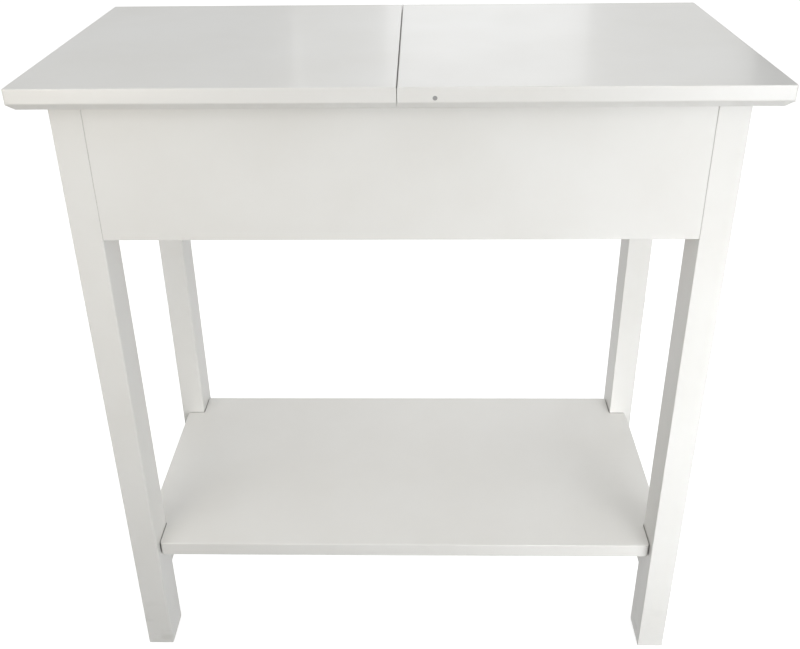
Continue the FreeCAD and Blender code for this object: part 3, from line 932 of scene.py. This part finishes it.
@dataclass
class WoodScrews(SubAssembly):
    """Every countersunk screw, threaded and with a cross recess."""

    finish: PlatedSteel = PlatedSteel("screw_steel", colour=(0.6, 0.6, 0.61), grain=Grain.Z)
    small_shank: float = 1.5 * MM
    board_shank: float = 2.0 * MM
    small_pitch: float = 1.1 * MM
    board_pitch: float = 1.8 * MM
    thread_share: float = 0.22
    point_turns: float = 2.0
    small_head: float = 3.0 * MM
    recess_width: float = 0.7 * MM
    recess_depth: float = 0.8 * MM

    def tree(self) -> bpy.types.NodeTree:
        """The tree of one screw, repeated.

        Returns:
            The tree.
        """
        tree = PieceTree("wood_screw", {
            "Length": 16 * MM, "Head Radius": 2.7 * MM, "Shank Radius": 1.5 * MM, "Pitch": 1.1 * MM,
            "Recess Width": self.recess_width, "Recess Depth": self.recess_depth,
        })
        length, head, shank = tree.size("Length"), tree.size("Head Radius"), tree.size("Shank Radius")
        core = tree.math("MULTIPLY", shank, 1.0 - self.thread_share)
        head_end = tree.math("SUBTRACT", head, core)
        point = tree.math("SUBTRACT", length, tree.math("MULTIPLY", shank, self.point_turns))
        tip = tree.math("MULTIPLY", shank, 0.1)
        rim = tree.math("MULTIPLY", head, 0.08)
        edge = tree.math("SUBTRACT", head, rim)
        solid = tree.turned([(0.0, edge), (rim, head), (head_end, core), (point, core), (length, tip)])
        reach = tree.math("MULTIPLY", head, 1.2)
        solid = tree.recessed(solid, reach, tree.size("Recess Width"), tree.size("Recess Depth"))
        run = tree.math("SUBTRACT", point, head_end)
        wire = tree.math("MULTIPLY", shank, self.thread_share * 1.1)
        thread = tree.thread(head_end, run, core, tree.size("Pitch"), wire)
        return tree.repeat(tree.joined([solid, thread]), seed=11)

    def build(self) -> None:
        """Makes the screws of every node that has them."""
        tree = self.tree()
        finish = self.finish.material("screw_zinc")
        rows = [(node, Body.FRAME) for node in (
            "cleat_screws", "well_bottom_screws", "shelf_screws", "hinge_frame_screws", "stay_plate_screws")]
        for side in Side:
            rows += [(f"hinge_leaf_screws_{side.value}", LEAF_BODY[side])]
            rows += [(f"stay_bracket_screws_{side.value}", LEAF_BODY[side])]
        for node, body in rows:
            solids = turned_solids(node)
            small = solids[0].radius < self.small_head
            piece = bake(f"{node}_threaded", solids, tree, {
                "Length": solids[0].length, "Head Radius": solids[0].radius,
                "Shank Radius": self.small_shank if small else self.board_shank,
                "Pitch": self.small_pitch if small else self.board_pitch,
            }, finish)
            self.stand_in(piece, node, body, self.finish.slot)


@dataclass
class KnockDownFittings(SubAssembly):
    """Fluted dowels, cam bolts and the cams that lock them."""

    beech: Timber = Timber(
        "dowel_wood",
        early=(0.72, 0.53, 0.34),
        late=(0.60, 0.40, 0.22),
        rings=420.0,
        pores=1400.0,
        grain=Grain.X,
    )
    zinc: PlatedSteel = PlatedSteel(
        "zinc", colour=(0.58, 0.585, 0.6), spangle=420.0, rough_low=0.28, rough_high=0.5
    )
    flutes: int = 16
    flute_depth: float = 0.35 * MM
    dowel_chamfer: float = 2.0 * MM
    head_length: float = 3.0 * MM
    neck_length: float = 5.9 * MM
    neck_radius: float = 1.7 * MM
    shank_radius: float = 3.0 * MM
    thread_radius: float = 2.5 * MM
    thread_length: float = 11.0 * MM
    thread_pitch: float = 1.7 * MM
    cam_rim: float = 0.5 * MM
    cam_slot_width: float = 1.3 * MM
    cam_slot_depth: float = 1.6 * MM

    def dowel_tree(self) -> bpy.types.NodeTree:
        """The tree of one fluted dowel, repeated.

        Returns:
            The tree.
        """
        tree = PieceTree("fluted_dowel", {
            "Length": 30 * MM, "Radius": 4 * MM, "Flute Depth": self.flute_depth, "Chamfer": self.dowel_chamfer,
        })
        length, radius = tree.size("Length"), tree.size("Radius")
        end = tree.node("ShaderNodeCombineXYZ", Z=length).outputs[0]
        line = tree.node("GeometryNodeCurvePrimitiveLine", End=end).outputs[0]
        line = tree.node("GeometryNodeResampleCurve", Curve=line, Count=31).outputs[0]
        run = tree.node("GeometryNodeSplineParameter").outputs["Length"]
        nearest = tree.math("MINIMUM", run, tree.math("SUBTRACT", length, run))
        share = tree.math("DIVIDE", nearest, tree.size("Chamfer"), clamp=True)
        taper = tree.remap(share, 0.0, 1.0, 0.72, 1.0)
        line = tree.node("GeometryNodeSetCurveRadius", Curve=line, Radius=taper).outputs[0]
        inner = tree.math("SUBTRACT", radius, tree.size("Flute Depth"))
        star = tree.node("GeometryNodeCurveStar", Points=self.flutes, Inner_Radius=inner, Outer_Radius=radius)
        swept = tree.node("GeometryNodeCurveToMesh", Curve=line, Profile_Curve=star.outputs[0])
        swept.inputs["Fill Caps"].default_value = True
        if "Scale" in swept.inputs:
            tree.tree.links.new(taper, swept.inputs["Scale"])
        return tree.repeat(swept.outputs[0], seed=5)

    def bolt_tree(self) -> bpy.types.NodeTree:
        """The tree of one cam bolt, repeated.

        Returns:
            The tree.
        """
        tree = PieceTree("cam_bolt", {
            "Length": 36.5 * MM, "Head Radius": 3.2 * MM, "Head Length": self.head_length,
            "Neck Radius": self.neck_radius, "Neck Length": self.neck_length, "Shank Radius": self.shank_radius,
            "Thread Radius": self.thread_radius, "Thread Length": self.thread_length, "Pitch": self.thread_pitch,
        })
        length, head = tree.size("Length"), tree.size("Head Radius")
        neck, shank, thread = tree.size("Neck Radius"), tree.size("Shank Radius"), tree.size("Thread Radius")
        head_end = tree.size("Head Length")
        neck_end = tree.math("ADD", head_end, tree.size("Neck Length"))
        thread_start = tree.math("SUBTRACT", length, tree.size("Thread Length"))
        core = tree.math("MULTIPLY", thread, 0.78)
        tip_start = tree.math("SUBTRACT", length, core)
        rounded = tree.math("MULTIPLY", head, 0.7)
        solid = tree.turned([
            (0.0, rounded), (tree.math("MULTIPLY", head_end, 0.25), head), (head_end, head), (head_end, neck),
            (neck_end, neck), (neck_end, shank), (thread_start, shank), (thread_start, core), (tip_start, core),
            (length, tree.math("MULTIPLY", core, 0.4)),
        ])
        run = tree.math("SUBTRACT", tree.math("SUBTRACT", length, thread_start), core)
        wire = tree.math("MULTIPLY", thread, 0.2)
        wound = tree.thread(thread_start, run, core, tree.size("Pitch"), wire)
        return tree.repeat(tree.joined([solid, wound]), seed=3)

    def cam_tree(self) -> bpy.types.NodeTree:
        """The tree of one cam, repeated.

        Returns:
            The tree.
        """
        tree = PieceTree("cam", {
            "Length": 13.2 * MM, "Radius": 7.4 * MM, "Rim": self.cam_rim, "Slot Width": self.cam_slot_width,
            "Slot Depth": self.cam_slot_depth,
        })
        length, radius, rim = tree.size("Length"), tree.size("Radius"), tree.size("Rim")
        small = tree.math("SUBTRACT", radius, rim)
        solid = tree.turned([(0.0, small), (rim, radius), (tree.math("SUBTRACT", length, rim), radius),
                             (length, small)], sides=36)
        solid = tree.recessed(solid, radius, tree.size("Slot Width"), tree.size("Slot Depth"))
        return tree.repeat(solid, seed=7)

    def build(self) -> None:
        """Makes the dowels, the cam bolts and the cams."""
        rows = (
            ("dowels", "dowels_fluted", self.dowel_tree(), self.beech, "beech", "Radius"),
            ("cam_bolts", "cam_bolts_threaded", self.bolt_tree(), self.zinc, "bolt_zinc", "Head Radius"),
            ("cam_nuts", "cam_nuts_cast", self.cam_tree(), self.zinc, "cam_zinc", "Radius"),
        )
        for node, name, tree, finish, material, radius_input in rows:
            solids = turned_solids(node)
            sizes = {"Length": solids[0].length, radius_input: solids[0].radius}
            piece = bake(name, solids, tree, sizes, finish.material(material))
            self.stand_in(piece, node, Body.FRAME, finish.slot)


@dataclass
class Feet(SubAssembly):
    """Nylon glides with their nails, and the soft bumpers that the leaves close on."""

    nylon: Moulded = Moulded("glide")
    rubber: Moulded = Moulded(
        "bumper", colour=(0.66, 0.67, 0.67), shade=(0.6, 0.61, 0.61), roughness=0.3, clear=0.35,
    )
    steel: PlatedSteel = PlatedSteel("screw_steel", grain=Grain.Z)
    dome: tuple[tuple[float, float], ...] = ((0.0, 1.0), (0.35, 0.97), (0.7, 0.8), (0.92, 0.5), (1.0, 0.2))

    def bumper_tree(self) -> bpy.types.NodeTree:
        """The tree of one domed bumper, repeated.

        Returns:
            The tree.
        """
        tree = PieceTree("domed_bumper", {"Height": 2 * MM, "Radius": 4 * MM})
        stations = [
            (tree.math("MULTIPLY", tree.size("Height"), up), tree.math("MULTIPLY", tree.size("Radius"), out))
            for up, out in self.dome
        ]
        return tree.repeat(tree.turned(stations, sides=28), seed=2)

    def build(self) -> None:
        """Dresses the glides and their nails, and makes the bumpers."""
        nylon = self.nylon.material("glide_nylon")
        for side in Side:
            for end in End:
                self.dress(f"glide_{end.value}_{side.value}", nylon)
        self.dress("glide_nails", self.steel.material("nail_steel"))
        solids = [self.upright(solid) for solid in turned_solids("leaf_bumpers")]
        sizes = {"Height": solids[0].length, "Radius": solids[0].radius}
        rubber = self.rubber.material("bumper_rubber")
        piece = bake("leaf_bumpers_domed", solids, self.bumper_tree(), sizes, rubber)
        self.stand_in(piece, "leaf_bumpers", Body.FRAME, self.rubber.slot)

    def upright(self, solid: Turned) -> Turned:
        """Turns a solid so that its head is its lower end.

        Args:
            solid: the solid.

        Returns:
            The same solid, going up.
        """
        if solid.way.z > 0:
            return solid
        return Turned(solid.head + solid.way * solid.length, -solid.way, solid.length, solid.radius)


# ---- studio ----
class Tone(Enum):
    """The colour of a softbox or of part of the room."""

    NEUTRAL = (1.0, 1.0, 0.99)
    WARM = (1.0, 0.94, 0.84)
    COOL = (0.97, 0.98, 1.0)


@dataclass(frozen=True)
class SoftLight:
    """A rectangular softbox."""

    name: str
    place: Triple
    aim: Triple
    width: float
    height: float
    watts: float
    tone: Tone = Tone.NEUTRAL
    spread: float = 180.0

    def hang(self) -> None:
        """Puts the light in the scene, hidden from the camera itself."""
        lamp = bpy.data.lights.new(self.name, "AREA")
        lamp.shape = "RECTANGLE"
        lamp.size, lamp.size_y = self.width, self.height
        lamp.energy = self.watts
        lamp.color = self.tone.value
        lamp.spread = math.radians(self.spread)
        holder = bpy.data.objects.new(self.name, lamp)
        holder.location = self.place
        holder.rotation_mode = "QUATERNION"
        holder.rotation_quaternion = (Vector(self.aim) - Vector(self.place)).to_track_quat("-Z", "Y")
        holder.visible_camera = False
        bpy.context.scene.collection.objects.link(holder)


class Band(Enum):
    """A band of the room round the table, by height: where it fades in and where it fades out."""

    GROUND = (None, (-0.12, 0.0))
    HORIZON = ((-0.12, 0.0), (0.24, 0.44))
    SKY = ((0.24, 0.44), None)


@dataclass(frozen=True)
class RoomPatch:
    """A soft pale part of the room: a band, fading out towards one side."""

    band: Band
    strength: float
    x_fade: Optional[tuple[float, float]] = None
    y_fade: Optional[tuple[float, float]] = None


@dataclass
class Studio:
    """Floor and wall, the room's soft light, softboxes and camera."""

    floor_radius: float = 7.0
    cove_radius: float = 2.0
    wall_height: float = 8.0
    cove_steps: int = 12
    floor_colour: Colour = (0.55, 0.55, 0.55)
    floor_glow: float = 0.72
    camera_place: Triple = (0.021, -1.01, 1.006)
    camera_yaw: float = 1.28
    camera_pitch: float = -27.28
    camera_roll: float = -0.68
    camera_lens: float = 41.66
    camera_shift: tuple[float, float] = (-0.0017, -0.0746)
    lights: tuple[SoftLight, ...] = (
        SoftLight("key_right", (1.25, -1.45, 1.35), (0.1, 0.0, 0.5), 0.9, 1.2, 4.0),
        SoftLight("front_centre", (0.5, -2.0, 1.0), (0.1, -0.18, 0.6), 0.8, 0.8, 4.0),
        SoftLight("fill_left", (-1.3, -1.3, 1.2), (-0.3, -0.1, 0.6), 0.6, 0.9, 4.0),
        SoftLight("left_end", (-0.55, -0.9, 0.72), (-0.34, -0.18, 0.66), 0.3, 0.3, 1.8, Tone.WARM),
        SoftLight("front_right", (0.9, -1.4, 0.6), (0.45, -0.18, 0.4), 0.6, 0.6, 1.4, Tone.COOL, 70.0),
        SoftLight("right_low", (1.5, -1.3, 0.5), (0.2, 0.0, 0.4), 0.8, 0.8, 3.5),
        SoftLight("under_right", (0.9, -0.7, 0.12), (0.3, 0.0, 0.3), 0.5, 0.2, 3.0),
        SoftLight("back_centre", (0.25, 2.2, 1.35), (0.05, 0.1, 0.76), 0.7, 0.7, 1.0, Tone.COOL),
        SoftLight("back_left", (-1.0, 2.4, 1.4), (0.0, 0.1, 0.76), 1.2, 0.8, 2.0),
        SoftLight("back_wide", (0.4, 2.6, 1.5), (0.05, 0.1, 0.76), 1.8, 1.0, 5.0),
    )
    room: tuple[RoomPatch, ...] = (
        RoomPatch(Band.SKY, 0.75),
        RoomPatch(Band.GROUND, 0.65, y_fade=(0.6, -0.6)),
        RoomPatch(Band.GROUND, 0.10, x_fade=(-0.6, 0.6)),
        RoomPatch(Band.HORIZON, 0.35, x_fade=(-0.6, 0.2), y_fade=(-0.6, 0.2)),
        RoomPatch(Band.HORIZON, 0.15, x_fade=(0.6, -0.2), y_fade=(-0.6, 0.2)),
    )

    def lay_floor(self) -> None:
        """A large plain pale floor that curves up into a wall and throws no light back at the table."""
        outline = [(0.0, 0.0), (self.floor_radius, 0.0)]
        for step in range(1, self.cove_steps + 1):
            turn = math.radians(90.0 * step / self.cove_steps)
            out = self.floor_radius + self.cove_radius * math.sin(turn)
            outline.append((out, self.cove_radius * (1.0 - math.cos(turn))))
        outline.append((self.floor_radius + self.cove_radius, self.wall_height))
        work = bmesh.new()
        corners = [work.verts.new((out, 0.0, up)) for out, up in outline]
        edges = [work.edges.new(pair) for pair in zip(corners, corners[1:])]
        bmesh.ops.spin(
            work,
            geom=corners + edges,
            cent=(0, 0, 0),
            axis=(0, 0, 1),
            angle=math.tau,
            steps=96,
            use_merge=True,
        )
        bmesh.ops.remove_doubles(work, verts=work.verts, dist=WELD)
        bmesh.ops.recalc_face_normals(work, faces=work.faces)
        if sum(face.normal.z * face.calc_area() for face in work.faces) < 0:
            bmesh.ops.reverse_faces(work, faces=work.faces)
        mesh = bpy.data.meshes.new("floor")
        work.to_mesh(mesh)
        work.free()
        mesh.shade_smooth()
        floor = bpy.data.objects.new("floor", mesh)
        bpy.context.scene.collection.objects.link(floor)
        shader = Shader("floor_paper")
        grain = shader.noise(shader.place(), 300.0, 2.0)
        shader.dress(
            Base_Color=(*self.floor_colour, 1.0),
            Emission_Color=(1.0, 1.0, 1.0, 1.0),
            Emission_Strength=self.floor_glow,
            Roughness=0.9,
            Normal=shader.relief(grain, 0.0002, 0.2),
        )
        mesh.materials.append(shader.material)
        floor.visible_diffuse = False
        floor.visible_glossy = False
        floor.visible_shadow = False

    def paint_room(self) -> None:
        """The room's soft light: the sum of its patches."""
        world = bpy.data.worlds.new("studio")
        bpy.context.scene.world = world
        world.use_nodes = True
        world.node_tree.nodes.clear()
        graph = Graph(world.node_tree)
        way = graph.node("ShaderNodeTexCoord").outputs["Generated"]
        split = graph.node("ShaderNodeSeparateXYZ", Vector=way)
        total: Value = 0.0
        for patch in self.room:
            fade_in, fade_out = patch.band.value
            share: Value = 1.0
            fades = [("Z", fade_in, 0.0, 1.0), ("Z", fade_out, 1.0, 0.0)]
            fades += [("X", patch.x_fade, 1.0, 0.0), ("Y", patch.y_fade, 1.0, 0.0)]
            for axis, fade, start, end in fades:
                if fade:
                    share = graph.math("MULTIPLY", share, graph.remap(split.outputs[axis], *fade, start, end))
            total = graph.math("ADD", total, graph.math("MULTIPLY", share, patch.strength))
        glow = graph.node("ShaderNodeBackground", Color=(*Tone.NEUTRAL.value, 1.0), Strength=total)
        output = graph.node("ShaderNodeOutputWorld")
        world.node_tree.links.new(glow.outputs[0], output.inputs["Surface"])

    def set_camera(self) -> None:
        """The camera stands in front, a little above the top."""
        lens = bpy.data.cameras.new("camera")
        lens.sensor_width = 36.0
        lens.lens = self.camera_lens
        lens.shift_x, lens.shift_y = self.camera_shift
        lens.clip_start, lens.clip_end = 0.05, 60.0
        camera = bpy.data.objects.new("camera", lens)
        camera.matrix_world = (
            Matrix.Translation(self.camera_place)
            @ Matrix.Rotation(math.radians(self.camera_yaw), 4, "Z")
            @ Matrix.Rotation(math.radians(90.0 + self.camera_pitch), 4, "X")
            @ Matrix.Rotation(math.radians(self.camera_roll), 4, "Z")
        )
        bpy.context.scene.collection.objects.link(camera)
        bpy.context.scene.camera = camera

    def build(self) -> None:
        """Sets up the studio."""
        self.lay_floor()
        self.paint_room()
        for light in self.lights:
            light.hang()
        self.set_camera()
        bpy.context.scene.view_settings.view_transform = "Standard"


def main() -> None:
    """Builds everything in order."""
    logging.basicConfig(level=logging.INFO, format="%(name)s: %(message)s")
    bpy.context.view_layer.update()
    Studio().build()
    kinds = (TopLeaves, TableFrame, StorageWell, HingesAndStays, WoodScrews, KnockDownFittings, Feet)
    for kind in kinds:
        kind().build()
        log.info("%s is built", kind.__name__)
    bpy.context.view_layer.update()


if __name__ == "__main__":
    main()
